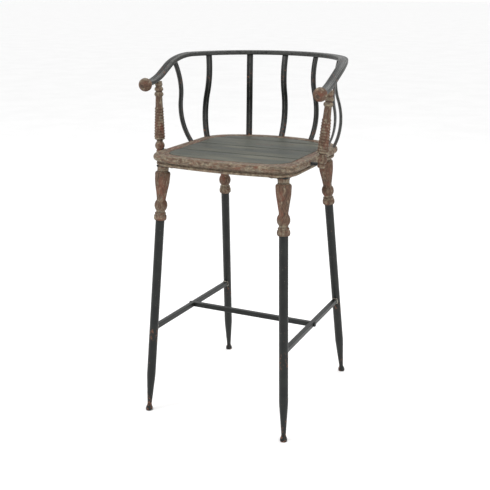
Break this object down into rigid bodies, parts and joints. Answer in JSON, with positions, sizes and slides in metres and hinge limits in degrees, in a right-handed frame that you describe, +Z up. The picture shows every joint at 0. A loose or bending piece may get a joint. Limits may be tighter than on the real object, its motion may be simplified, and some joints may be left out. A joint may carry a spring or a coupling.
{
  "type": "bar stool with footrest",
  "caption": "Bar-height stool with a bowed plank seat, turned wooden leg tops on tapered steel tubes, an H-shaped footrest, and a curved rail back with S-shaped flat bars and turned arm posts.",
  "frame": {"origin": "middle of the stool's footprint on the floor", "axes": "+Z up, the sitter faces -Y, X across the seat"},
  "size_m": [0.5574, 0.5267, 1.0185],
  "materials": {
    "aged_wood": "distressed paint worn back to brown wood",
    "plank_paint": "worn grey-green paint on planks",
    "board": "bare plywood",
    "black_iron": "rubbed charcoal-black paint on steel",
    "zinc_hardware": "dull zinc plate"
  },
  "bodies": {
    "root": {"arm_ball_left": "aged_wood", "arm_ball_right": "aged_wood", "arm_ball_studs": "zinc_hardware", "arm_post_left": "aged_wood", "arm_post_right": "aged_wood", "arm_post_studs": "zinc_hardware", "back_rail": "black_iron", "cross_stretcher": "black_iron", "cross_stretcher_plugs": "zinc_hardware", "leg_foot_back_left": "black_iron", "leg_foot_back_right": "black_iron", "leg_foot_front_left": "black_iron", "leg_foot_front_right": "black_iron", "leg_plate_back_left": "black_iron", "leg_plate_back_right": "black_iron", "leg_plate_front_left": "black_iron", "leg_plate_front_right": "black_iron", "leg_rod_back_left": "zinc_hardware", "leg_rod_back_right": "zinc_hardware", "leg_rod_front_left": "zinc_hardware", "leg_rod_front_right": "zinc_hardware", "leg_tube_back_left": "black_iron", "leg_tube_back_right": "black_iron", "leg_tube_front_left": "black_iron", "leg_tube_front_right": "black_iron", "leg_tube_nuts": "zinc_hardware", "leg_turning_back_left": "aged_wood", "leg_turning_back_right": "aged_wood", "leg_turning_front_left": "aged_wood", "leg_turning_front_right": "aged_wood", "plate_screws": "zinc_hardware", "post_rod_left": "black_iron", "post_rod_right": "black_iron", "seat_board": "board", "seat_plank_1": "plank_paint", "seat_plank_2": "plank_paint", "seat_plank_3": "plank_paint", "seat_plank_4": "plank_paint", "seat_rim": "aged_wood", "side_stretcher_left": "black_iron", "side_stretcher_right": "black_iron", "spindle_1": "black_iron", "spindle_2": "black_iron", "spindle_3": "black_iron", "spindle_4": "black_iron", "spindle_5": "black_iron", "spindle_6": "black_iron", "spindle_7": "black_iron", "stretcher_bolts": "black_iron"}
  },
  "joints": []
}
